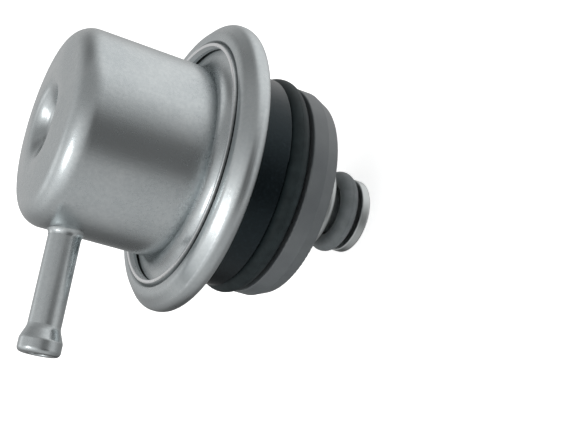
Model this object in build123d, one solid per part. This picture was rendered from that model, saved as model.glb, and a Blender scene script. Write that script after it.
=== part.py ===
from build123d import *
import os

os.makedirs("parts", exist_ok=True)

# Fuel pressure regulator for a fuel rail, in millimetres.
# The axis of the regulator is Z with the spring cup up. The origin is on that axis, in the plane
# of the rim's underside that seats on the rail. The vacuum tube points along +X.

# Sheet thicknesses
cup_wall = 0.9
housing_wall = 1.0
diaphragm_sheet = 0.5
fold_sheet = 1.1

# Spring cup, measured outside
cup_radius = 12.6
cup_height = 21.5
cup_corner = 2.8
cup_foot = 1.8
crown_radius = 6.5
crown_drop = 0.8
crown_blend = 8.0
dimple_radius = 5.2
dimple_floor = 2.4
dimple_depth = 1.3
dimple_blend = 2.0

# Rolled rim
rim_width = 6.4
rim_low_round = 1.3
rim_side_round = 1.2
rim_top_round = 1.5
rim_slope_width = 1.6
rim_slope_height = 1.4
rim_plateau = 1.0
lip_width = 0.45
lip_rise = 0.25
lip_lift = 0.2
valley_width = 0.5
valley_depth = 0.35
fold_round = 0.6
edge_clearance = 0.15

# Lower housing
body_inset = 0.8
body_depth = 13.2
body_corner = 1.8
body_bend = 1.4
seat_step = 0.2
step_clearance = 0.4
inlet_margin = 0.25
inlet_count = 6

# Vacuum tube
tube_radius = 2.0
tube_bore = 1.25
tube_drop = 5.9
tube_length = 14.9
tube_inside = 0.6
bead_radius = 2.6
bead_length = 1.7
bead_flare = 1.5
bead_neck = 0.5
bead_round = 0.6
braze_leg = 0.9
braze_foot = 1.3

# Return nose
nose_bore = 1.9
hub_radius = 6.3
hub_length = 3.4
hub_taper = 0.6
hub_round = 0.8
shoulder_radius = 4.9
groove_width = 4.25
spigot_radius = 5.05
spigot_length = 1.35
spigot_round = 0.4
shank_radius = 4.6
shank_rise = 3.0
seat_depth = 3.0

# Rings
ring_width = 2.2
large_ring_stand = 0.5
large_ring_play = 0.43
small_ring_section = 2.4
small_ring_radius = 5.6
small_ring_play = 0.53
support_length = 3.87
support_offset = 0.85
support_chamfer_length = 1.8
support_chamfer = 0.75

# Valve
ball_radius = 2.0
ball_depth = 3.4
ball_flat = 1.6
ball_play = 0.03
valve_plate_radius = 3.8
valve_plate_sheet = 0.8
plate_gap = 0.4
land_width = 0.7
land_height = 0.3
seat_radius = 3.2
holder_radius = 4.6
stem_radius = 2.4
head_overhang = 0.8
head_height = 0.8
retainer_sheet = 0.5
retainer_radius = 3.1
skirt_lap = 0.2
skirt_height = 0.3

# Diaphragm and its plates
centre_drop = 1.2
upper_plate_sheet = 0.8
upper_plate_rim = 2.4
lower_plate_inset = 0.5
lower_plate_sheet = 0.8
roll_gap = 1.5
roll_rise = 0.6
clamp_reach = 1.0

# Springs
spring_wire = 1.8
spring_turns = 5.5
spring_clearance = 0.4
cap_sheet = 1.0
cap_rim = 2.2
ball_spring_radius = 0.95
ball_spring_wire = 0.3
ball_spring_length = 2.2
ball_spring_turns = 4

# Fits and finish
press_clearance = 0.02
slip_clearance = 0.05
edge_break = 0.2
wire_sides = 6

# Heights that follow, up from the rail seat
clamp_z = housing_wall
cup_flange_z = clamp_z + diaphragm_sheet
fold_z = cup_flange_z + cup_wall
rim_top_z = fold_z + fold_sheet
lip_top_z = rim_top_z + lip_rise
rim_slope_z = rim_top_z - rim_slope_height
hub_z = clamp_z - centre_drop
upper_plate_z = hub_z + diaphragm_sheet
lower_plate_z = hub_z - lower_plate_sheet
spring_low_z = upper_plate_z + upper_plate_sheet
cap_top_z = cup_height - cup_wall - dimple_depth
spring_high_z = cap_top_z - cap_sheet
ball_z = lower_plate_z - ball_depth
valve_top_z = ball_z - ball_flat
valve_bottom_z = valve_top_z - valve_plate_sheet
floor_z = -body_depth
floor_top_z = floor_z + housing_wall
shank_top_z = floor_top_z + shank_rise
hub_low_z = floor_z - hub_length
shoulder_z = hub_low_z - hub_taper
spigot_z = shoulder_z - groove_width
nose_low_z = spigot_z - spigot_length
small_ring_z = spigot_z + small_ring_play + small_ring_section / 2
retainer_z = valve_top_z + plate_gap
tube_height = cup_height - tube_drop

# Radii that follow
cup_inner = cup_radius - cup_wall
rim_radius = cup_radius + rim_width
rim_slope_radius = rim_radius - rim_slope_width
valley_radius = rim_slope_radius - rim_plateau
lip_outer = valley_radius - valley_width
lip_radius = lip_outer - lip_width
fold_inner = rim_radius - housing_wall
flange_edge = fold_inner - edge_clearance
tube_reach = cup_radius + tube_length
body_radius = cup_radius - body_inset
body_inner = body_radius - housing_wall
inlet_outer = body_radius - body_corner - inlet_margin
inlet_inner = hub_radius + inlet_margin
inlet_circle = (inlet_outer + inlet_inner) / 2
inlet_radius = (inlet_outer - inlet_inner) / 2
pilot_radius = body_radius + ring_width
large_ring_radius = pilot_radius + large_ring_stand
large_ring_section = large_ring_radius - body_radius
upper_plate_radius = body_inner - roll_gap
lower_plate_radius = upper_plate_radius - lower_plate_inset
spring_pocket = upper_plate_radius - upper_plate_sheet
spring_radius = spring_pocket - spring_clearance - spring_wire / 2
clamp_radius = cup_radius + clamp_reach
roll_radius = (upper_plate_radius + clamp_radius) / 2
groove_radius = small_ring_radius - small_ring_section - press_clearance
retainer_hole = (ball_radius ** 2 - (ball_z - retainer_z - retainer_sheet) ** 2) ** 0.5 + ball_play
head_radius = stem_radius + head_overhang

# Rings that follow, down from the rail seat
support_low_z = floor_z + support_offset
support_top_z = support_low_z + support_length
spacer_low_z = support_top_z + large_ring_play + large_ring_section
large_ring_z = spacer_low_z - large_ring_section / 2


def turned(*corners):
    """A solid turned about Z from a closed outline of (radius, height, rounding) corners."""
    points = [(radius, height) for radius, height, rounding in corners]
    roundings = [rounding for radius, height, rounding in corners]
    outline = FilletPolyline(*points, radius=roundings, close=True)
    return revolve(Plane.XZ * make_face(outline), Axis.Z)


def tube_frame(solid):
    """Lays a solid that was turned about Z along the vacuum tube's axis."""
    return Pos(0, 0, tube_height) * Rot(0, 90, 0) * solid


def round_ring(outer_radius, section, height):
    """A rubber ring of round section."""
    return Pos(0, 0, height) * Torus(outer_radius - section / 2, section / 2)


def coil(radius, wire, low, high, turns):
    """A compression spring of many-sided wire, its two ends ground flat."""
    height = high - low
    pitch = height / turns
    path = Helix(pitch, height + wire / 2, radius)
    start = Plane(origin=path @ 0, z_dir=path % 0)
    wire_section = start * RegularPolygon(wire / 2, wire_sides)
    spring = Pos(0, 0, low - wire / 4) * sweep(wire_section, path=path)
    slab = Pos(0, 0, (low + high) / 2) * Cylinder(radius + wire, height)
    return spring & slab


def upper_cup():
    """Deep drawn spring cup with a crowned face, the adjusting dimple and the clamped flange."""
    top = cup_height
    crown_z = top - crown_drop
    dimple_z = top - dimple_depth
    under = top - cup_wall
    shell = turned(
        (flange_edge, cup_flange_z, 0),
        (flange_edge, fold_z, fold_round),
        (cup_radius, fold_z, cup_foot),
        (cup_radius, crown_z, cup_corner),
        (crown_radius, top, crown_blend),
        (dimple_radius, top, dimple_blend),
        (dimple_floor, dimple_z, dimple_blend),
        (0, dimple_z, 0),
        (0, dimple_z - cup_wall, 0),
        (dimple_floor, dimple_z - cup_wall, dimple_blend + cup_wall),
        (dimple_radius, under, dimple_blend - cup_wall),
        (crown_radius, under, crown_blend),
        (cup_inner, crown_z - cup_wall, cup_corner - cup_wall),
        (cup_inner, cup_flange_z, cup_foot + cup_wall),
    )
    hole = Pos(0, 0, cup_radius) * Cylinder(tube_radius + press_clearance, cup_radius)
    return shell - tube_frame(hole)


def vacuum_tube():
    """Steel tube for the vacuum hose, with a rolled bead at its open end."""
    root = cup_inner - tube_inside
    bead_start = tube_reach - bead_length
    return tube_frame(turned(
        (tube_bore, root, 0),
        (tube_radius, root, 0),
        (tube_radius, bead_start - bead_flare, bead_flare),
        (bead_radius, bead_start, bead_neck),
        (bead_radius, tube_reach, bead_round),
        (tube_bore, tube_reach, edge_break),
    ))


def tube_braze():
    """Fillet of braze between the cup's wall and the tube."""
    inner = tube_radius + press_clearance
    outer = inner + braze_foot
    wall = (cup_radius ** 2 - outer ** 2) ** 0.5
    fillet = tube_frame(turned(
        (inner, wall - cup_wall, 0),
        (outer, wall - cup_wall, 0),
        (outer, wall, 0),
        (inner, cup_radius, braze_leg),
        (inner, cup_radius + braze_leg, 0),
    ))
    return fillet - Cylinder(cup_radius, 2 * cup_height)


def lower_housing():
    """Drawn steel housing whose flange is rolled over the cup's flange, with the inlet holes."""
    shell = turned(
        (shank_radius + press_clearance, floor_z, 0),
        (body_radius, floor_z, body_corner),
        (body_radius, seat_step, 0),
        (pilot_radius + step_clearance, seat_step, 0),
        (pilot_radius + step_clearance, 0, 0),
        (rim_radius, 0, rim_low_round),
        (rim_radius, rim_slope_z, rim_side_round),
        (rim_slope_radius, rim_top_z, rim_top_round),
        (valley_radius, rim_top_z, valley_width / 2),
        (lip_outer + valley_width / 3, rim_top_z - valley_depth, 0),
        (lip_outer, lip_top_z, lip_width / 4),
        (lip_radius, lip_top_z, lip_width / 4),
        (lip_radius, fold_z + lip_lift, 0),
        (valley_radius, fold_z, 0),
        (fold_inner, fold_z, fold_round),
        (fold_inner, clamp_z, 0),
        (body_inner, clamp_z, body_bend),
        (body_inner, floor_top_z, 0),
        (shank_radius + press_clearance, floor_top_z, 0),
    )
    hole = Pos(0, 0, floor_z + housing_wall / 2) * Cylinder(inlet_radius, 2 * housing_wall)
    return shell - PolarLocations(inlet_circle, inlet_count) * hole


def nose_fitting():
    """Turned return nose: shank through the housing floor, hub, ring groove and end spigot."""
    bore_step = shank_top_z - seat_depth
    return turned(
        (seat_radius + press_clearance, shank_top_z, 0),
        (shank_radius, shank_top_z, 0),
        (shank_radius, floor_z, 0),
        (hub_radius, floor_z, 0),
        (hub_radius, hub_low_z, hub_round),
        (shoulder_radius, shoulder_z, edge_break),
        (groove_radius, shoulder_z, 0),
        (groove_radius, spigot_z, 0),
        (spigot_radius, spigot_z, edge_break),
        (spigot_radius, nose_low_z, spigot_round),
        (nose_bore, nose_low_z, 0),
        (nose_bore, bore_step, 0),
        (seat_radius + press_clearance, bore_step, 0),
    )


def valve_seat():
    """Hardened seat sleeve pressed in the nose's shank, with a raised lapped land."""
    sleeve_top = valve_bottom_z - land_height
    sleeve_low = shank_top_z - seat_depth
    return turned(
        (nose_bore, valve_bottom_z, 0),
        (nose_bore + land_width, valve_bottom_z, 0),
        (nose_bore + land_width, sleeve_top, 0),
        (seat_radius, sleeve_top, 0),
        (seat_radius, sleeve_low, 0),
        (nose_bore, sleeve_low, 0),
    )


def spacer_ring():
    """Black moulded ring between the rim and the large sealing ring."""
    inner = body_radius + slip_clearance
    return turned(
        (inner, spacer_low_z, 0),
        (pilot_radius, spacer_low_z, edge_break),
        (pilot_radius, seat_step, 0),
        (inner, seat_step, 0),
    )


def support_ring():
    """Grey moulded ring that carries the large sealing ring from below."""
    inner = body_radius + slip_clearance
    return turned(
        (inner, support_top_z, 0),
        (pilot_radius, support_top_z, edge_break),
        (pilot_radius, support_low_z + support_chamfer_length, 0),
        (pilot_radius - support_chamfer, support_low_z, edge_break),
        (inner, support_low_z, 0),
    )


def large_o_ring():
    """Sealing ring against the rail's pocket."""
    return round_ring(large_ring_radius, large_ring_section, large_ring_z)


def small_o_ring():
    """Sealing ring of the return nose."""
    return round_ring(small_ring_radius, small_ring_section, small_ring_z)


def spring_cap():
    """Pressed cap between the cup's dimple and the main spring."""
    outside = spring_pocket + cap_sheet
    return turned(
        (0, cap_top_z, 0),
        (outside, cap_top_z, cap_sheet),
        (outside, cap_top_z - cap_rim, 0),
        (spring_pocket, cap_top_z - cap_rim, 0),
        (spring_pocket, spring_high_z, 0),
        (0, spring_high_z, 0),
    )


def main_spring():
    """Closing spring between the cap and the diaphragm's upper plate."""
    return coil(spring_radius, spring_wire, spring_low_z, spring_high_z, spring_turns)


def upper_plate():
    """Dished plate on top of the diaphragm that the spring stands in."""
    hole = stem_radius + press_clearance
    return turned(
        (hole, upper_plate_z, 0),
        (upper_plate_radius, upper_plate_z, upper_plate_sheet),
        (upper_plate_radius, upper_plate_z + upper_plate_rim, 0),
        (spring_pocket, upper_plate_z + upper_plate_rim, 0),
        (spring_pocket, spring_low_z, 0),
        (hole, spring_low_z, 0),
    )


def lower_plate():
    """Washer under the diaphragm."""
    hole = stem_radius + press_clearance
    return turned(
        (hole, lower_plate_z, 0),
        (lower_plate_radius, lower_plate_z, 0),
        (lower_plate_radius, hub_z, 0),
        (hole, hub_z, 0),
    )


def easy_bend(start, end):
    """A curve that leaves one point and reaches the next level, with its steepest part half way."""
    middle = (start[0] + end[0]) / 2
    return Bezier(start, (middle, start[1]), (middle, end[1]), end)


def diaphragm():
    """Reinforced rubber diaphragm with one roll, clamped at its edge and under the plates."""
    hole = stem_radius + press_clearance
    crest = (roll_radius, clamp_z + roll_rise)
    rise = easy_bend((upper_plate_radius, hub_z), crest)
    fall = easy_bend(crest, (clamp_radius, clamp_z))
    top_rise = Pos(0, diaphragm_sheet) * rise
    top_fall = Pos(0, diaphragm_sheet) * fall
    edge = Polyline(fall @ 1, (flange_edge, clamp_z), (flange_edge, cup_flange_z), top_fall @ 1)
    centre = Polyline(rise @ 0, (hole, hub_z), (hole, upper_plate_z), top_rise @ 0)
    outline = Curve() + [rise, fall, edge, top_fall, top_rise, centre]
    return revolve(Plane.XZ * make_face(outline), Axis.Z)


def valve_holder():
    """Turned holder riveted through the diaphragm, bored for the ball and its spring."""
    bore = ball_radius + slip_clearance
    spring_bore = ball_spring_radius + ball_spring_wire / 2 + slip_clearance
    retainer_top = retainer_z + retainer_sheet
    skirt_low = retainer_z - skirt_height
    head_z = spring_low_z + head_height
    return turned(
        (0, head_z, 0),
        (head_radius, head_z, head_height / 2),
        (head_radius, spring_low_z, 0),
        (stem_radius, spring_low_z, 0),
        (stem_radius, lower_plate_z, 0),
        (holder_radius, lower_plate_z, 0),
        (holder_radius, skirt_low, 0),
        (retainer_radius - skirt_lap, skirt_low, 0),
        (retainer_radius - skirt_lap, retainer_z, 0),
        (retainer_radius + slip_clearance, retainer_z, 0),
        (retainer_radius + slip_clearance, retainer_top, 0),
        (bore, retainer_top, 0),
        (bore, ball_z + ball_radius, 0),
        (spring_bore, ball_z + ball_radius, 0),
        (spring_bore, ball_z + ball_radius + ball_spring_length, 0),
        (0, ball_z + ball_radius + ball_spring_length, 0),
    )


def ball_spring():
    """Small spring that keeps the ball on its retainer."""
    touch = (ball_radius ** 2 - ball_spring_radius ** 2) ** 0.5
    low = ball_z + touch + ball_play
    high = ball_z + ball_radius + ball_spring_length
    return coil(ball_spring_radius, ball_spring_wire, low, high, ball_spring_turns)


def valve_ball():
    """Steel ball, ground flat below where the valve plate is bonded on."""
    ball = Pos(0, 0, ball_z) * Sphere(ball_radius)
    ground = Pos(0, 0, valve_top_z + ball_radius) * Cylinder(2 * ball_radius, 2 * ball_radius)
    return ball & ground


def ball_retainer():
    """Flat ring held by the holder's rolled skirt, with the ball standing through it."""
    return turned(
        (retainer_hole, retainer_z, 0),
        (retainer_radius, retainer_z, 0),
        (retainer_radius, retainer_z + retainer_sheet, 0),
        (retainer_hole, retainer_z + retainer_sheet, 0),
    )


def valve_plate():
    """Lapped disc that closes the seat."""
    return turned(
        (0, valve_bottom_z, 0),
        (valve_plate_radius, valve_bottom_z, 0),
        (valve_plate_radius, valve_top_z, 0),
        (0, valve_top_z, 0),
    )


pieces = {
    "upper_cup": upper_cup,
    "vacuum_tube": vacuum_tube,
    "tube_braze": tube_braze,
    "lower_housing": lower_housing,
    "nose_fitting": nose_fitting,
    "valve_seat": valve_seat,
    "spacer_ring": spacer_ring,
    "large_o_ring": large_o_ring,
    "support_ring": support_ring,
    "small_o_ring": small_o_ring,
    "spring_cap": spring_cap,
    "main_spring": main_spring,
    "diaphragm": diaphragm,
    "upper_plate": upper_plate,
    "lower_plate": lower_plate,
    "valve_holder": valve_holder,
    "ball_spring": ball_spring,
    "valve_ball": valve_ball,
    "ball_retainer": ball_retainer,
    "valve_plate": valve_plate,
}

for name, make in pieces.items():
    export_step(make(), f"parts/{name}.step")
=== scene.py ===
import bpy
import numpy as np
from mathutils import Matrix, Vector


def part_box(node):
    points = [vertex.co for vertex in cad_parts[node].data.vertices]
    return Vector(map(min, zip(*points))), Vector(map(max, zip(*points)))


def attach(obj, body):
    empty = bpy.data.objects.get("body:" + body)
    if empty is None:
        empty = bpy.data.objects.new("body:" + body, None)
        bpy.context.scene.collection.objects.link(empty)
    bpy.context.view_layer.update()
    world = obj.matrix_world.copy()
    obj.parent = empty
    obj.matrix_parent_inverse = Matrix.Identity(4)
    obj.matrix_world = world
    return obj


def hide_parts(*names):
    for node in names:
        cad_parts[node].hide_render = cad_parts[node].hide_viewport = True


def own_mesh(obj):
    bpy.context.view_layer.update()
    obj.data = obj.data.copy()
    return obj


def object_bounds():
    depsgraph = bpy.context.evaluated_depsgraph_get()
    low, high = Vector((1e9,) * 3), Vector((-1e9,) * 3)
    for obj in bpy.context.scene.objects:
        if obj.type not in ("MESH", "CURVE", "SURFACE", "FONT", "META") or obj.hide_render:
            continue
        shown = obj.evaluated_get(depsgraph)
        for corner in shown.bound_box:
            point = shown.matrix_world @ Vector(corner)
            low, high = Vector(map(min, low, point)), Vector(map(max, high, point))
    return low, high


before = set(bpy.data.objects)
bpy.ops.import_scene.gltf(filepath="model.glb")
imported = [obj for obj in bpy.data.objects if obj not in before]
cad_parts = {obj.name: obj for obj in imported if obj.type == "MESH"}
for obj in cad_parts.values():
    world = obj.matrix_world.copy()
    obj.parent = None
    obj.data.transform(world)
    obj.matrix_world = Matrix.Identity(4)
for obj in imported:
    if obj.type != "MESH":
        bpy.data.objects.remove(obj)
cad_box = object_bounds()
# Sizes are in millimetres, apart from those that a comment gives in metres.
millimetre = 0.001

# Spring cup
# Deep drawn from low-carbon sheet steel and then plated with zinc-nickel, which leaves a satin,
# slightly green grey. The drawing punch leaves faint marks along the wall and an orange peel, and
# handling leaves wide smudges over a fine mottle.
plated_light = "c9cecf"
plated_dark = "bcc2c4"
smudge_size = 5.0
mottle_size = 0.45
cloud_span = (0.7, 1.3)
drawn_rough = 0.29
drawn_smooth = 0.21
# Real drawing marks and grain are a few hundredths of a millimetre wide, which is too fine to show,
# so both are drawn several times as coarse.
draw_mark_width = 0.16
draw_mark_length = 5.0
draw_mark_depth = 0.003
grain_size = 0.13
grain_depth = 0.004
peel_size = 1.1
peel_depth = 0.009
# The adjusting punch's dimple is deeper in the photograph than in the solid. This pit in the bump
# steepens its shading, and its values are radii and a depth.
pit_floor = 0.4
pit_edge = 4.9
pit_depth = 2.0


def linear(hex_color):
    """sRGB hex to a linear colour.

    A channel c becomes c / 12.92 up to 0.04045, and above that ((c + 0.055) / 1.055) ** 2.4.
    """
    srgb = np.array([int(hex_color[i:i + 2], 16) for i in (0, 2, 4)]) / 255
    channels = np.where(srgb <= 0.04045, srgb / 12.92, ((srgb + 0.055) / 1.055) ** 2.4)
    return (*channels.tolist(), 1.0)


def add(tree, kind, inputs, **settings):
    """Adds a node with its settings. Each input is a value, or the output that is linked to it."""
    node = tree.nodes.new(kind)
    for name, value in settings.items():
        setattr(node, name, value)
    for name, value in inputs.items():
        if isinstance(value, bpy.types.NodeSocket):
            tree.links.new(value, node.inputs[name])
        else:
            node.inputs[name].default_value = value
    return node


def fresh_material(name, **shader_values):
    """A material with one Principled shader, whose uniform values are set on its own sockets."""
    material = bpy.data.materials.new(name)
    material.use_nodes = True
    shader = material.node_tree.nodes["Principled BSDF"]
    for socket, value in shader_values.items():
        shader.inputs[socket.replace("_", " ")].default_value = value
    return material, material.node_tree, shader


def dress(node_name, material):
    """Gives a CAD node one material, and leaves its mesh alone."""
    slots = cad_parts[node_name].data.materials
    slots.clear()
    slots.append(material)


def object_noise(tree, size, detail=2.0, stretch=(1, 1, 1)):
    """Noise on the piece's own coordinates, in lumps of size times stretch along each axis."""
    place = add(tree, "ShaderNodeTexCoord", {}).outputs["Object"]
    scale = {0: place, 1: tuple(1 / (size * millimetre * factor) for factor in stretch)}
    scaled = add(tree, "ShaderNodeVectorMath", scale, operation="MULTIPLY").outputs[0]
    noise = {"Vector": scaled, "Scale": 1.0, "Detail": detail}
    return add(tree, "ShaderNodeTexNoise", noise).outputs["Fac"]


def spread(tree, value, low, high, start=0.3, end=0.7):
    """Takes a value between start and end to one between low and high.

    Noise lies mostly between the start and end that are given here.
    """
    inputs = {"Value": value, "From Min": start, "From Max": end, "To Min": low, "To Max": high}
    return add(tree, "ShaderNodeMapRange", inputs).outputs["Result"]


def blended(tree, share, first, second):
    """Mixes a first and a second colour, each a hex value or an output, by a share from 0 to 1."""
    colors = [linear(color) if isinstance(color, str) else color for color in (first, second)]
    mix = add(tree, "ShaderNodeMix", {0: share, 6: colors[0], 7: colors[1]}, data_type="RGBA")
    return mix.outputs[2]


def bumped(tree, shader, *layers):
    """Stacks bump layers of (height, depth in millimetres) and gives the last one to the shader."""
    normal = None
    for height, depth in layers:
        inputs = {"Height": height, "Strength": 1.0, "Distance": depth * millimetre}
        if normal is not None:
            inputs["Normal"] = normal
        normal = add(tree, "ShaderNodeBump", inputs).outputs["Normal"]
    tree.links.new(normal, shader.inputs["Normal"])


def round_axis(tree):
    """The piece's own coordinates, the distance from the Z axis and the height."""
    place = add(tree, "ShaderNodeTexCoord", {}).outputs["Object"]
    parts = add(tree, "ShaderNodeSeparateXYZ", {"Vector": place}).outputs
    flat = add(tree, "ShaderNodeCombineXYZ", {"X": parts["X"], "Y": parts["Y"]}).outputs["Vector"]
    radius = add(tree, "ShaderNodeVectorMath", {0: flat}, operation="LENGTH").outputs["Value"]
    return place, radius, parts["Z"]


def centre_pit(tree):
    """The adjusting punch's pit as a height: smooth from 1 outside its edge to 0 at its floor."""
    radius = round_axis(tree)[1]
    edges = {"Value": radius, "From Min": pit_floor * millimetre, "From Max": pit_edge * millimetre}
    return add(tree, "ShaderNodeMapRange", edges, interpolation_type="SMOOTHSTEP").outputs["Result"]


def plated_steel(name, rough, smooth):
    """Satin plated steel, paler and smoother where the smudges and the mottle add up to more.

    Returns the material, its tree, its shader and the colour that the shader has so far.
    """
    material, tree, shader = fresh_material(name, Metallic=1.0)
    smudge = object_noise(tree, smudge_size, detail=4.0)
    mottle = object_noise(tree, mottle_size, detail=3.0)
    clouds = add(tree, "ShaderNodeMath", {0: smudge, 1: mottle}, operation="ADD").outputs[0]
    color = blended(tree, spread(tree, clouds, 0, 1, *cloud_span), plated_dark, plated_light)
    tree.links.new(color, shader.inputs["Base Color"])
    tree.links.new(spread(tree, clouds, rough, smooth, *cloud_span), shader.inputs["Roughness"])
    return material, tree, shader, color


def drawn_steel(name, stretch, pitted=False):
    """The plated steel with the die's marks, stretched along the way it was drawn."""
    material, tree, shader = plated_steel(name, drawn_rough, drawn_smooth)[:3]
    layers = [
        (object_noise(tree, peel_size), peel_depth),
        (object_noise(tree, draw_mark_width, stretch=stretch), draw_mark_depth),
        (object_noise(tree, grain_size), grain_depth),
    ]
    if pitted:
        layers.insert(0, (centre_pit(tree), pit_depth))
    bumped(tree, shader, *layers)
    return material


along_wall = (1, 1, draw_mark_length / draw_mark_width)
dress("upper_cup", drawn_steel("zinc_nickel_plated_deep_drawn_steel", along_wall, pitted=True))

# Vacuum tube
# Thin steel tube with a bead rolled at its open end, plated with the cup. The drawing die leaves
# its marks along the tube, which is along X here.
along_tube = (draw_mark_length / draw_mark_width, 1, 1)
dress("vacuum_tube", drawn_steel("zinc_nickel_plated_steel_tube", along_tube))

# Braze fillet
# Copper braze that ran round the tube's root and was plated over, so it has the cup's grey with a
# smoother, wetter surface.
braze_roughness = 0.22
braze_ripple_size = 0.45
braze_ripple_depth = 0.02


def plated_braze():
    """Plated braze: smooth metal with soft ripples."""
    material, tree, shader = fresh_material("plated_braze", Metallic=1.0, Roughness=braze_roughness)
    ripple = object_noise(tree, braze_ripple_size)
    color = blended(tree, spread(tree, ripple, 0, 1), plated_dark, plated_light)
    tree.links.new(color, shader.inputs["Base Color"])
    bumped(tree, shader, (ripple, braze_ripple_depth))
    return material


dress("tube_braze", plated_braze())

# Lower housing with its rolled rim
# One drawn sheet of the same plated steel. The rim was rolled over the cup's flange by a turning
# head, which leaves fine rings round the axis, drawn coarser than the real ones.
rolled_rough = 0.35
rolled_smooth = 0.26
ring_mark_width = 0.10
ring_mark_drift = 9.0
ring_mark_depth = 0.004
rolled_peel_depth = 0.008
rolled_grain_depth = 0.0025
# A painted highlight lies along the fold's lip, and painted shade fills the gap beside it, darkest
# on one side of the rim, in the direction given below. Each band has the radius of its middle, how
# far it reaches from there and where it has faded out. Both lie on the rim, above band_low.
band_low = 3.0
lip_middle = 15.62
lip_reach = 0.25
lip_fade = 0.35
# The colour of the painted highlight along the lip.
lip_highlight_color = "f4f5f6"
gap_middle = 16.10
gap_reach = 0.10
gap_fade = 0.24
# Painted shade in the gap: its colour, darkest side, cosines over which it deepens, least share.
gap_shade_color = "191c1e"
shade_side = (0.34, 0.94, 0.0)
shade_cosine_span = (0.6, 0.9)
least_shade_share = 0.35


def ring_noise(tree, width, drift):
    """Noise that runs in rings round Z: fine over the radius and height, slow along the ring."""
    place, radius, height = round_axis(tree)
    flat = {"X": radius, "Y": 0.0, "Z": height}
    section = add(tree, "ShaderNodeCombineXYZ", flat).outputs["Vector"]
    scaled = []
    for vector, size in ((section, width), (place, drift)):
        scale = {0: vector, 1: (1 / (size * millimetre),) * 3}
        scaled.append(add(tree, "ShaderNodeVectorMath", scale, operation="MULTIPLY").outputs[0])
    terms = {0: scaled[0], 1: scaled[1]}
    both = add(tree, "ShaderNodeVectorMath", terms, operation="ADD").outputs[0]
    noise = {"Vector": both, "Scale": 1.0, "Detail": 2.0}
    return add(tree, "ShaderNodeTexNoise", noise).outputs["Fac"]


def away_from(tree, value, level):
    """How far a value lies from a level in metres, above or below."""
    above = add(tree, "ShaderNodeMath", {0: value, 1: level}, operation="SUBTRACT").outputs[0]
    return add(tree, "ShaderNodeMath", {0: above}, operation="ABSOLUTE").outputs[0]


def raised_band(tree, middle, reach, fade):
    """1 within reach of a radius round Z, falling to 0 at fade, and 0 below band_low."""
    radius, height = round_axis(tree)[1:]
    away = away_from(tree, radius, middle * millimetre)
    near = spread(tree, away, 1, 0, reach * millimetre, fade * millimetre)
    limit = {0: height, 1: band_low * millimetre}
    above = add(tree, "ShaderNodeMath", limit, operation="GREATER_THAN").outputs[0]
    return add(tree, "ShaderNodeMath", {0: near, 1: above}, operation="MULTIPLY").outputs[0]


def painted_shade_share(tree):
    """The share of painted shade, from its least to 1 as the cosine to the dark side grows."""
    place, radius = round_axis(tree)[:2]
    inputs = {0: place, 1: shade_side}
    side = add(tree, "ShaderNodeVectorMath", inputs, operation="DOT_PRODUCT").outputs["Value"]
    cosine = add(tree, "ShaderNodeMath", {0: side, 1: radius}, operation="DIVIDE").outputs[0]
    return spread(tree, cosine, least_shade_share, 1.0, *shade_cosine_span)


def rolled_steel():
    """Plated steel with the head's rings, painted highlight on the lip and painted shade in its
    gap.
    """
    material, tree, shader, steel = plated_steel(
        "zinc_nickel_plated_rolled_steel", rolled_rough, rolled_smooth)
    # A painted highlight along the lip, and painted shade in the gap beside it, darkest on one
    # side.
    lip_highlight = raised_band(tree, lip_middle, lip_reach, lip_fade)
    # Painted shade in the gap beside the lip, darker towards one side of the rim.
    gap = {0: raised_band(tree, gap_middle, gap_reach, gap_fade), 1: painted_shade_share(tree)}
    painted_shade = add(tree, "ShaderNodeMath", gap, operation="MULTIPLY").outputs[0]
    color = blended(tree, painted_shade, blended(tree, lip_highlight, steel, lip_highlight_color), gap_shade_color)
    tree.links.new(color, shader.inputs["Base Color"])
    bumped(
        tree, shader,
        (object_noise(tree, peel_size), rolled_peel_depth),
        (ring_noise(tree, ring_mark_width, ring_mark_drift), ring_mark_depth),
        (object_noise(tree, grain_size), rolled_grain_depth),
    )
    return material


dress("lower_housing", rolled_steel())

# Spacer ring
# Glass-filled nylon, moulded black, with the mould's satin sheen, slight waves where it shrank and
# faint flecks of glass in its skin, drawn coarser than the real fibres.
nylon_black = "04090c"
nylon_fleck = "121a1e"
nylon_sheen = "c9e2ec"
nylon_roughness = 0.25
nylon_specular = 0.42
fleck_size = 0.35
fleck_span = (0.5, 0.75)
fleck_depth = 0.02
shrink_size = 2.5
shrink_depth = 0.03


def black_nylon():
    """Black glass-filled nylon: dark, with a cool sheen and faint flecks."""
    material, tree, shader = fresh_material(
        "black_glass_filled_nylon", Roughness=nylon_roughness,
        Specular_IOR_Level=nylon_specular, Specular_Tint=linear(nylon_sheen))
    flecks = object_noise(tree, fleck_size, detail=3.0)
    color = blended(tree, spread(tree, flecks, 0, 1, *fleck_span), nylon_black, nylon_fleck)
    tree.links.new(color, shader.inputs["Base Color"])
    bumped(tree, shader, (flecks, fleck_depth), (object_noise(tree, shrink_size), shrink_depth))
    return material


dress("spacer_ring", black_nylon())

# Support ring
# Moulded from grey unfilled nylon, with slight flow clouds. The mould was spark eroded, which
# leaves a matte skin with a fine even texture, drawn coarser than real.
grey_nylon_light = "5c6163"
grey_nylon_dark = "53585b"
grey_nylon_roughness = 0.4
grey_nylon_specular = 0.8
cloud_size = 3.0
spark_size = 0.2
spark_depth = 0.008


def grey_nylon():
    """Grey nylon: even, matte, faintly clouded, with the mould's fine spark texture."""
    material, tree, shader = fresh_material(
        "grey_nylon", Roughness=grey_nylon_roughness, Specular_IOR_Level=grey_nylon_specular)
    clouds = object_noise(tree, cloud_size, detail=3.0)
    color = blended(tree, spread(tree, clouds, 0, 1), grey_nylon_light, grey_nylon_dark)
    tree.links.new(color, shader.inputs["Base Color"])
    bumped(tree, shader, (object_noise(tree, spark_size), spark_depth))
    return material


dress("support_ring", grey_nylon())

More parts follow.
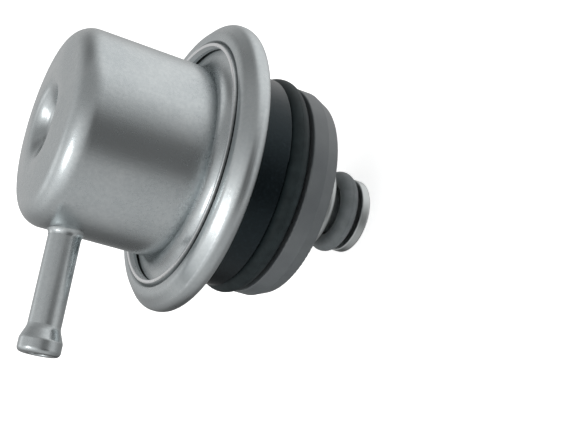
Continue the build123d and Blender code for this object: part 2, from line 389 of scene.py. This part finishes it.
# Sealing rings
# Moulded rubber, greenish black for the large ring and grey for the small one, dulled by a dusty
# bloom. The mould's two halves leave a thin flash line round the middle of each.
# Each row holds a node, its material, the colours of the rubber and the bloom, and the sheen.
ring_looks = (
    ("large_o_ring", "black_rubber", "1b2426", "273133", 0.2),
    ("small_o_ring", "grey_rubber", "666c6e", "767c7e", 0.5),
)
rubber_roughness = 0.5
bloom_size = 1.2
# The rubber's grain is too fine to show, so it is drawn coarser.
rubber_grain_size = 0.25
rubber_grain_depth = 0.012
flash_width = 0.05
flash_depth = 0.03


def middle_height(node_name):
    """The height of a CAD node's middle."""
    low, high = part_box(node_name)
    return (low.z + high.z) / 2


def ring_rubber(name, rubber_color, bloom_color, specular, middle):
    """Matte rubber with a dusty bloom and a thin raised flash line at the ring's middle height."""
    material, tree, shader = fresh_material(
        name, Roughness=rubber_roughness, Specular_IOR_Level=specular)
    bloom = object_noise(tree, bloom_size, detail=5.0)
    color = blended(tree, spread(tree, bloom, 0, 1), rubber_color, bloom_color)
    tree.links.new(color, shader.inputs["Base Color"])
    away = away_from(tree, round_axis(tree)[2], middle)
    flash = spread(tree, away, 1, 0, 0, flash_width * millimetre)
    grain = object_noise(tree, rubber_grain_size)
    bumped(tree, shader, (grain, rubber_grain_depth), (flash, flash_depth))
    return material


for ring_name, *ring_look in ring_looks:
    dress(ring_name, ring_rubber(*ring_look, middle_height(ring_name)))

# Return nose
# Turned from free-cutting steel bar, plated bright and pressed into the housing's floor. The tool
# leaves fine rings round the axis, drawn coarser than its real feed.
turned_light = "c9cdcd"
turned_dark = "b9bebe"
turned_roughness = 0.32
tool_mark_width = 0.09
tool_mark_drift = 20.0
tool_mark_depth = 0.006


def turned_steel():
    """Bright turned steel with the tool's rings."""
    material, tree, shader = fresh_material(
        "plated_turned_steel", Metallic=1.0, Roughness=turned_roughness)
    smudge = object_noise(tree, smudge_size, detail=4.0)
    color = blended(tree, spread(tree, smudge, 0, 1), turned_dark, turned_light)
    tree.links.new(color, shader.inputs["Base Color"])
    bumped(tree, shader, (ring_noise(tree, tool_mark_width, tool_mark_drift), tool_mark_depth))
    return material


dress("nose_fitting", turned_steel())

# Valve seat, plate, ball and retainer
# Hardened steel, ground and then lapped where the plate meets the seat, with a crossed grain that
# is drawn coarser than real. The seat is pressed into the nose, and the holder carries the rest.
lapped_light = "cfd0d1"
lapped_dark = "b9babc"
lapped_roughness = 0.2
lapping_size = 0.08
lapping_depth = 0.001


def lapped_steel():
    """Hard steel with a fine crossed grain from grinding and lapping."""
    material, tree, shader = fresh_material(
        "hardened_lapped_steel", Metallic=1.0, Roughness=lapped_roughness)
    lapping = object_noise(tree, lapping_size)
    color = blended(tree, spread(tree, lapping, 0, 1), lapped_dark, lapped_light)
    tree.links.new(color, shader.inputs["Base Color"])
    bumped(tree, shader, (lapping, lapping_depth))
    return material


hard_steel = lapped_steel()
for hard_piece in ("valve_seat", "valve_plate", "valve_ball", "ball_retainer"):
    dress(hard_piece, hard_steel)

# Spring cap, diaphragm plates and valve holder
# Plain pressed and turned mild steel with a thin oil film, unplated inside the closed shell. The
# holder is riveted through the diaphragm and its two plates. The grain is drawn coarser than real.
pressed_light = "a9aaab"
pressed_dark = "8f9091"
pressed_roughness = 0.4
oil_film_size = 3.0
pressed_grain_size = 0.2
pressed_grain_depth = 0.003


def pressed_steel():
    """Plain mild steel, a little darker and rougher than the plated shell."""
    material, tree, shader = fresh_material(
        "plain_pressed_steel", Metallic=1.0, Roughness=pressed_roughness)
    oil = object_noise(tree, oil_film_size, detail=3.0)
    color = blended(tree, spread(tree, oil, 0, 1), pressed_dark, pressed_light)
    tree.links.new(color, shader.inputs["Base Color"])
    bumped(tree, shader, (object_noise(tree, pressed_grain_size), pressed_grain_depth))
    return material


plain_steel = pressed_steel()
for plain_piece in ("spring_cap", "upper_plate", "lower_plate", "valve_holder"):
    dress(plain_piece, plain_steel)

# Diaphragm
# A sheet of black rubber on woven fabric, moulded with one roll. Its edge is clamped in the rolled
# rim and its middle between the plates, and it flattens towards its edge as the valve lifts.
diaphragm_dark = "15191a"
diaphragm_light = "1f2526"
diaphragm_roughness = 0.65
# The real weave is too fine to show, so it is drawn coarser.
weave_pitch = 0.4
weave_depth = 0.02
# The solid's own radii and heights, and a hair's gap to the faces that it lies on.
hole_radius = 2.42
plate_radius = 9.3
clamp_radius = 13.6
edge_radius = 17.85
clamp_height = 1.0
centre_height = -0.2
roll_height = 1.6
rubber_thickness = 0.5
rubber_gap = 0.01
bend_steps = 14
rubber_steps = 144
sharp_angle = 0.8


def diaphragm_rubber():
    """Black rubber with a fine plain weave under it, as the product of two sine waves."""
    material, tree, shader = fresh_material("reinforced_rubber", Roughness=diaphragm_roughness)
    place = add(tree, "ShaderNodeTexCoord", {}).outputs["Object"]
    parts = add(tree, "ShaderNodeSeparateXYZ", {"Vector": place}).outputs
    radians_per_metre = 2 * np.pi / (weave_pitch * millimetre)
    waves = []
    for axis_name in ("X", "Y"):
        inputs = {0: parts[axis_name], 1: radians_per_metre}
        angle = add(tree, "ShaderNodeMath", inputs, operation="MULTIPLY").outputs[0]
        waves.append(add(tree, "ShaderNodeMath", {0: angle}, operation="SINE").outputs[0])
    weave = add(tree, "ShaderNodeMath", {0: waves[0], 1: waves[1]}, operation="MULTIPLY").outputs[0]
    color = blended(tree, spread(tree, weave, 0, 1, -1, 1), diaphragm_dark, diaphragm_light)
    tree.links.new(color, shader.inputs["Base Color"])
    bumped(tree, shader, (weave, weave_depth))
    return material


def new_piece(name, rings, material, node_name, body, closed=False):
    """A smooth piece for a CAD node, from rings of points in millimetres, joined one to the next.

    closed joins the last ring to the first. Otherwise the first and last rings are end faces.
    """
    count, around = rings.shape[:2]
    index = np.arange(count * around).reshape(count, around)
    after = np.roll(index, -1, axis=0) if closed else index[1:]
    before = index if closed else index[:-1]
    corners = [before, after, np.roll(after, -1, axis=1), np.roll(before, -1, axis=1)]
    faces = np.stack(corners, axis=-1).reshape(-1, 4).tolist()
    if not closed:
        faces += [index[0].tolist(), index[-1][::-1].tolist()]
    mesh = bpy.data.meshes.new(name)
    mesh.from_pydata((rings.reshape(-1, 3) * millimetre).tolist(), [], faces)
    mesh.polygons.foreach_set("use_smooth", [True] * len(faces))
    mesh.set_sharp_from_angle(angle=sharp_angle)
    mesh.materials.append(material)
    piece = bpy.data.objects.new(name, mesh)
    bpy.context.scene.collection.objects.link(piece)
    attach(piece, body)
    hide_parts(node_name)
    return piece


def easy_bend(start, end):
    """Points of a cubic curve that leaves start level and reaches end level, steepest half way.

    At a share s the radius has gone by 1.5 s (1 - s) + s ** 3 of its way, and the height by
    3 s ** 2 - 2 s ** 3 of its own.
    """
    share = np.linspace(0, 1, bend_steps)
    radius = start[0] + (end[0] - start[0]) * (1.5 * share * (1 - share) + share ** 3)
    height = start[1] + (end[1] - start[1]) * (3 * share ** 2 - 2 * share ** 3)
    return np.column_stack([radius, height])


def rubber_section():
    """The diaphragm's section as (radius, height): its lower face outwards, its upper face back."""
    crest = ((plate_radius + clamp_radius) / 2, roll_height)
    lower = np.vstack([
        (hole_radius, centre_height),
        easy_bend((plate_radius, centre_height), crest),
        easy_bend(crest, (clamp_radius, clamp_height))[1:],
        (edge_radius, clamp_height),
    ])
    lower[:, 1] += rubber_gap
    upper = lower + (0, rubber_thickness - 2 * rubber_gap)
    return np.vstack([lower, upper[::-1]])


def revolved(section, steps):
    """Rings of a section turned about Z: radius times cosine and sine of the turn, and height."""
    turn = np.linspace(0, 2 * np.pi, steps, endpoint=False)[:, None]
    radius, height = section[:, 0], section[:, 1]
    level = np.broadcast_to(height, (steps, len(section)))
    return np.stack([radius * np.cos(turn), radius * np.sin(turn), level], axis=-1)


rubber_rings = revolved(rubber_section(), rubber_steps)
rubber_sheet = new_piece(
    "rubber_diaphragm", rubber_rings, diaphragm_rubber(), "diaphragm", "housing", closed=True)
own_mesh(rubber_sheet)

# Springs
# Coiled from hard drawn spring wire and oiled, dark and smooth, with their two ends ground flat.
# The large one stands between the cap and the upper plate and shortens as the valve lifts.
wire_light = "77787a"
wire_dark = "5c5d5f"
wire_roughness = 0.35
wire_oil_size = 1.5
# The wire's grain is too fine to show, so it is drawn coarser.
wire_grain_size = 0.1
wire_grain_depth = 0.002
closing_wire = 1.8
closing_coils = 5.5
steps_per_coil = 48
wire_sides = 16


def spring_wire():
    """Dark oiled wire."""
    material, tree, shader = fresh_material(
        "oiled_spring_wire", Metallic=1.0, Roughness=wire_roughness)
    oil = object_noise(tree, wire_oil_size, detail=3.0)
    color = blended(tree, spread(tree, oil, 0, 1), wire_dark, wire_light)
    tree.links.new(color, shader.inputs["Base Color"])
    bumped(tree, shader, (object_noise(tree, wire_grain_size), wire_grain_depth))
    return material


def round_coil(wire, coils, box_low, box_high):
    """Rings of points along a helix of round wire between two corners of a box, in millimetres.

    At a share s of its length the helix has turned by s times all its coils and climbed by s times
    its height. A ring lies across the wire, and what passes the box's two levels is ground flat.
    """
    radius = box_high.x / millimetre - wire / 2
    bottom, top = box_low.z / millimetre, box_high.z / millimetre
    share = np.linspace(0, 1, int(coils * steps_per_coil) + 1)[:, None]
    angle = 2 * np.pi * coils * share
    across = 2 * np.pi * np.arange(wire_sides) / wire_sides
    distance = radius + wire / 2 * np.cos(across)
    height = np.clip(bottom + (top - bottom) * share + wire / 2 * np.sin(across), bottom, top)
    return np.stack([distance * np.cos(angle), distance * np.sin(angle), height], axis=-1)


wire_steel = spring_wire()
closing_low, closing_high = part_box("main_spring")
closing_rings = round_coil(closing_wire, closing_coils, closing_low, closing_high)
closing_spring = new_piece("closing_spring", closing_rings, wire_steel, "main_spring", "housing")
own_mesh(closing_spring)
dress("ball_spring", wire_steel)

# Camera
# It stands where the photograph was taken. The directions of the regulator's axis and tube, as
# right, up and towards the camera, and the place of its rim's middle were measured in the picture.
picture_width = 578
picture_height = 431
focal_pixels = 1100
sensor_width = 36
axis_in_view = Vector((-0.86441, 0.26554, 0.42695))
tube_in_view = Vector((-0.16851, -0.95305, 0.25159))
rim_middle = Vector((0, 0, 1.5)) * millimetre
rim_middle_pixel = (191.707, 167.021)
rim_middle_distance = 141.232 * millimetre
nearest_seen = 10 * millimetre

axis = axis_in_view.normalized()
tube_side = (tube_in_view - axis * tube_in_view.dot(axis)).normalized()
view_from_frame = Matrix((tube_side, axis.cross(tube_side), axis)).transposed()
frame_from_view = view_from_frame.transposed()
right_of_middle = (rim_middle_pixel[0] - picture_width / 2) / focal_pixels * rim_middle_distance
above_middle = (picture_height / 2 - rim_middle_pixel[1]) / focal_pixels * rim_middle_distance
rim_middle_in_view = Vector((right_of_middle, above_middle, -rim_middle_distance))
camera_place = rim_middle - frame_from_view @ rim_middle_in_view
lens = bpy.data.cameras.new("camera")
lens.sensor_width = sensor_width
lens.lens = focal_pixels * sensor_width / picture_width
lens.clip_start = nearest_seen
camera = bpy.data.objects.new("camera", lens)
camera.matrix_world = Matrix.Translation(camera_place) @ frame_from_view.to_4x4()
bpy.context.scene.collection.objects.link(camera)
bpy.context.scene.camera = camera

# Floor
# A plain pale card laid flat just under the nose. A glow that only the camera sees lifts it to
# white, and it still shows the regulator's shadow. Half its width is given in metres.
floor_half = 0.8
floor_gap = 0.02 * millimetre
floor_color = "f4f4f4"
floor_roughness = 0.9
floor_glow = 0.62

floor_height = cad_box[0].z - floor_gap
floor_corners = [
    (x * floor_half, y * floor_half, floor_height) for x, y in ((-1, -1), (1, -1), (1, 1), (-1, 1))]
floor_mesh = bpy.data.meshes.new("floor")
floor_mesh.from_pydata(floor_corners, [], [(0, 1, 2, 3)])
floor = bpy.data.objects.new("floor", floor_mesh)
bpy.context.scene.collection.objects.link(floor)
floor_material, floor_tree, floor_shader = fresh_material(
    "pale_floor", Base_Color=linear(floor_color), Roughness=floor_roughness,
    Emission_Color=(1, 1, 1, 1))
seen = add(floor_tree, "ShaderNodeLightPath", {}).outputs["Is Camera Ray"]
glow = add(floor_tree, "ShaderNodeMath", {0: seen, 1: floor_glow}, operation="MULTIPLY").outputs[0]
floor_tree.links.new(glow, floor_shader.inputs["Emission Strength"])
floor_mesh.materials.append(floor_material)
floor.visible_glossy = False

# Studio light
# A square lamp and the largest softbox hang over the cup on the tube's side, smaller ones high
# behind it and faint ones low down. Dark flags stand near the camera, opposite the tube and low
# behind. Metal also shows a white backdrop, mostly opposite the tube.
base_light = 0.51
diffuse_fill = 0.25
# Each row is a soft round patch: its direction in degrees (round from +X, up from level), its outer
# and inner radius in degrees and its strength, which is below zero for a flag.
light_areas = (
    ((27, 52), 55, 5, 0.68),
    ((27, 60), 20, 0, 0.30),
    ((-85, 50), 18, 6, 0.40),
    ((-38, 40), 25, 5, 0.15),
    ((-76, 57), 47, 1, 0.22),
    ((0, -18), 40, 10, 0.09),
    ((98, -50), 32, 8, 0.16),
    ((98, 8), 22, 5, -0.12),
    ((78, -15), 38, 11, -0.36),
    ((155, 38), 60, 20, -0.12),
    ((-158, 24), 36, 8, -0.20),
    ((-64, -8), 45, 12, -0.20),
    ((-52, -56), 65, 19, -0.22),
    ((-62, -32), 32, 10, -0.07),
)
backdrop_areas = (
    ((170, -22), 60, 22, 1.0),
    ((-108, 8), 30, 5, 0.10),
)
# The lamp's direction is given the same way, and its distance and size in metres.
key_aim_degrees = (27, 62)
key_distance = 0.40
key_size = 0.13
key_radiance = 2.5

world = bpy.data.worlds.new("studio")
world.use_nodes = True
bpy.context.scene.world = world
studio = world.node_tree
studio.nodes.clear()
direction = add(studio, "ShaderNodeTexCoord", {}).outputs["Generated"]


def towards(round_degrees, up_degrees):
    """The unit vector at an angle round Z from +X and an angle up from level."""
    turn, rise = np.radians((round_degrees, up_degrees))
    return Vector((np.cos(rise) * np.cos(turn), np.cos(rise) * np.sin(turn), np.sin(rise)))


def patches(areas, level):
    """Adds each patch to level: nothing outside its outer radius, its strength in the inner one."""
    for aim, outer, inner, strength in areas:
        dot = add(studio, "ShaderNodeVectorMath", {0: direction, 1: towards(*aim)},
                  operation="DOT_PRODUCT").outputs["Value"]
        angle = add(studio, "ShaderNodeMath", {0: dot}, operation="ARCCOSINE").outputs[0]
        inputs = {"Value": angle, "From Min": np.radians(outer), "From Max": np.radians(inner),
                  "To Min": 0.0, "To Max": strength}
        patch = add(
            studio, "ShaderNodeMapRange", inputs, interpolation_type="SMOOTHSTEP").outputs["Result"]
        level = add(studio, "ShaderNodeMath", {0: level, 1: patch}, operation="ADD").outputs[0]
    return level


# The camera sees plain white, and reflections see it in the backdrop's areas. All other rays see
# the room, with the fill added for those that leave a matte surface.
path = add(studio, "ShaderNodeLightPath", {}).outputs
mirror_rays = {0: path["Is Glossy Ray"], 1: path["Is Transmission Ray"]}
mirrored = add(studio, "ShaderNodeMath", mirror_rays, operation="MAXIMUM").outputs[0]
backdrop = patches(backdrop_areas, 0.0)
shown = add(studio, "ShaderNodeMath", {0: mirrored, 1: backdrop}, operation="MULTIPLY").outputs[0]
white_rays = {0: path["Is Camera Ray"], 1: shown}
white_share = add(studio, "ShaderNodeMath", white_rays, operation="ADD", use_clamp=True).outputs[0]
fill_rays = {0: path["Is Diffuse Ray"], 1: diffuse_fill}
fill = add(studio, "ShaderNodeMath", fill_rays, operation="MULTIPLY").outputs[0]
even_level = add(studio, "ShaderNodeMath", {0: fill, 1: base_light}, operation="ADD").outputs[0]
room_level = patches(light_areas, even_level)
room = add(
    studio, "ShaderNodeBackground", {"Color": (1, 1, 1, 1), "Strength": room_level}).outputs[0]
white = add(studio, "ShaderNodeBackground", {"Color": (1, 1, 1, 1), "Strength": 1.0}).outputs[0]
mixed = add(studio, "ShaderNodeMixShader", {0: white_share, 1: room, 2: white}).outputs[0]
add(studio, "ShaderNodeOutputWorld", {"Surface": mixed})

# The key lamp is a square softbox. Its power is its radiance times pi times its area.
key_aim = towards(*key_aim_degrees)
key = bpy.data.objects.new("key_lamp", bpy.data.lights.new("key_lamp", "AREA"))
key.data.size = key_size
key.data.energy = key_radiance * np.pi * key_size ** 2
key.location = key_aim * key_distance
key.rotation_mode = "QUATERNION"
key.rotation_quaternion = key_aim.to_track_quat("Z", "Y")
bpy.context.scene.collection.objects.link(key)
bpy.context.scene.view_settings.view_transform = "Standard"
